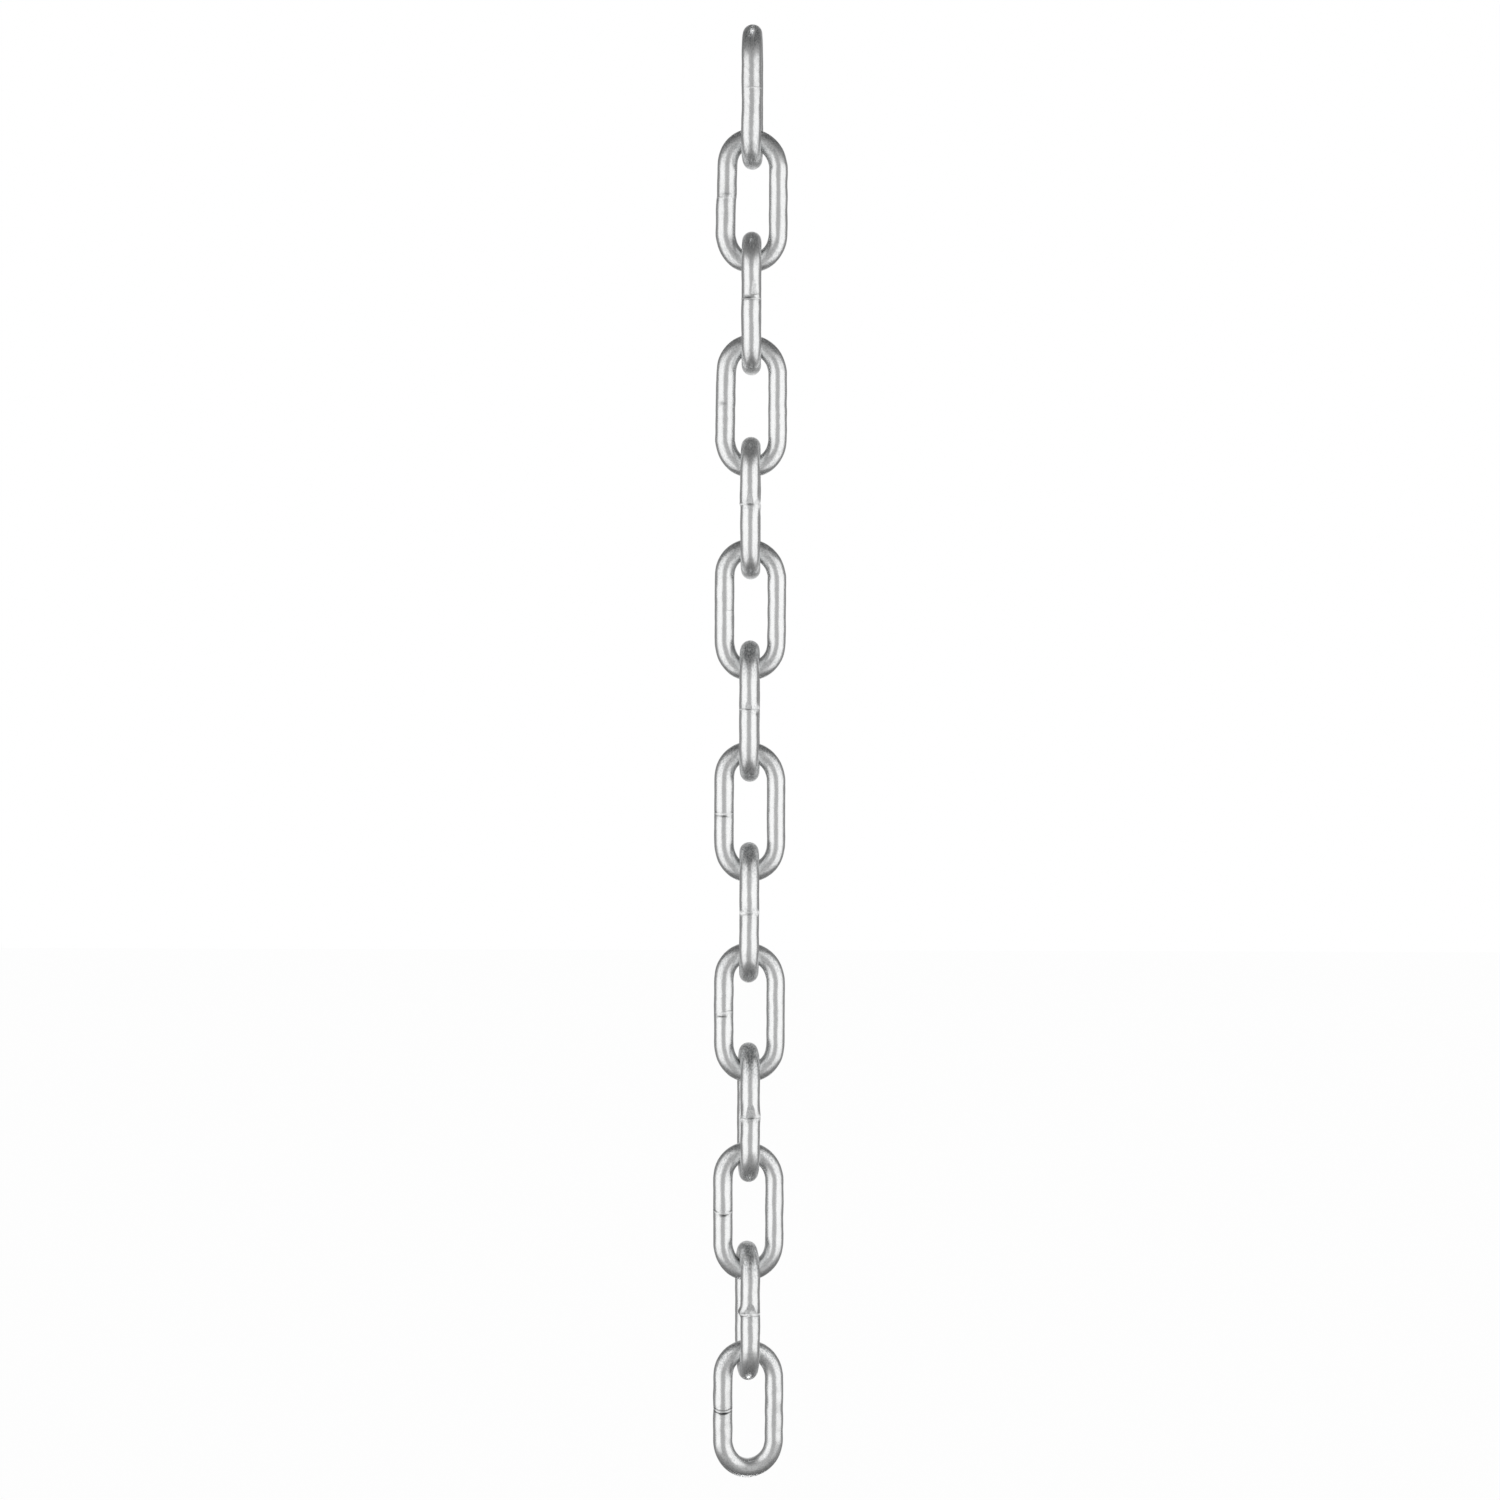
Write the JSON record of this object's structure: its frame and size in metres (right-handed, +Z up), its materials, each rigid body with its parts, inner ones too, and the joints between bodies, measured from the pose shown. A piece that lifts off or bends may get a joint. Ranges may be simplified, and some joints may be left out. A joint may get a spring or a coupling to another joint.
{
  "type": "welded link chain",
  "caption": "Length of galvanized steel chain of welded round-wire links, long ovals set crosswise and swinging freely in one another, for hanging, guarding or tethering.",
  "frame": {"origin": "inner top of the top link's upper crown, where a hook or shackle carries the hanging chain", "axes": "+Z up along the hanging chain, -Y towards the viewer, who sees the second link and every other one face-on"},
  "size_m": [0.0112, 0.0113, 0.2261],
  "materials": {
    "zinc_coat": "bright satin zinc on drawn steel wire, darker and grainier round the crowns, a weld collar on one leg"
  },
  "bodies": {
    "top_link": {"top_link": "zinc_coat"},
    "link_02": {"link_02": "zinc_coat"},
    "link_03": {"link_03": "zinc_coat"},
    "link_04": {"link_04": "zinc_coat"},
    "link_05": {"link_05": "zinc_coat"},
    "link_06": {"link_06": "zinc_coat"},
    "link_07": {"link_07": "zinc_coat"},
    "link_08": {"link_08": "zinc_coat"},
    "link_09": {"link_09": "zinc_coat"},
    "link_10": {"link_10": "zinc_coat"},
    "link_11": {"link_11": "zinc_coat"},
    "link_12": {"link_12": "zinc_coat"},
    "link_13": {"link_13": "zinc_coat"},
    "bottom_link": {"bottom_link": "zinc_coat"}
  },
  "joints": [
    {"name": "link_02_swing", "type": "hinge", "parent": "top_link", "child": "link_02", "pos_m": [0, 0, -0.0175], "axis": [-0.0593, -0.9982, 0], "range_deg": [-135, 135]},
    {"name": "link_03_swing", "type": "hinge", "parent": "link_02", "child": "link_03", "pos_m": [0, 0, -0.0332], "axis": [-0.9989, 0.0471, 0], "range_deg": [-135, 135]},
    {"name": "link_04_swing", "type": "hinge", "parent": "link_03", "child": "link_04", "pos_m": [0, 0, -0.0489], "axis": [0.0349, 0.9994, 0], "range_deg": [-135, 135]},
    {"name": "link_05_swing", "type": "hinge", "parent": "link_04", "child": "link_05", "pos_m": [0, 0, -0.0646], "axis": [0.9997, -0.0227, 0], "range_deg": [-135, 135]},
    {"name": "link_06_swing", "type": "hinge", "parent": "link_05", "child": "link_06", "pos_m": [0, 0, -0.0803], "axis": [-0.0105, -0.9999, 0], "range_deg": [-135, 135]},
    {"name": "link_07_swing", "type": "hinge", "parent": "link_06", "child": "link_07", "pos_m": [0, 0, -0.096], "axis": [-1, -0.0017, 0], "range_deg": [-135, 135]},
    {"name": "link_08_swing", "type": "hinge", "parent": "link_07", "child": "link_08", "pos_m": [0, 0, -0.1117], "axis": [-0.014, 0.9999, 0], "range_deg": [-135, 135]},
    {"name": "link_09_swing", "type": "hinge", "parent": "link_08", "child": "link_09", "pos_m": [0, 0, -0.1274], "axis": [0.9997, 0.0262, 0], "range_deg": [-135, 135]},
    {"name": "link_10_swing", "type": "hinge", "parent": "link_09", "child": "link_10", "pos_m": [0, 0, -0.1431], "axis": [0.0384, -0.9993, 0], "range_deg": [-135, 135]},
    {"name": "link_11_swing", "type": "hinge", "parent": "link_10", "child": "link_11", "pos_m": [0, 0, -0.1588], "axis": [-0.9987, -0.0506, 0], "range_deg": [-135, 135]},
    {"name": "link_12_swing", "type": "hinge", "parent": "link_11", "child": "link_12", "pos_m": [0, 0, -0.1745], "axis": [-0.0628, 0.998, 0], "range_deg": [-135, 135]},
    {"name": "link_13_swing", "type": "hinge", "parent": "link_12", "child": "link_13", "pos_m": [0, 0, -0.1902], "axis": [0.9972, 0.075, 0], "range_deg": [-135, 135]},
    {"name": "bottom_link_swing", "type": "hinge", "parent": "link_13", "child": "bottom_link", "pos_m": [0, 0, -0.2059], "axis": [0.0872, -0.9962, 0], "range_deg": [-135, 135]}
  ]
}
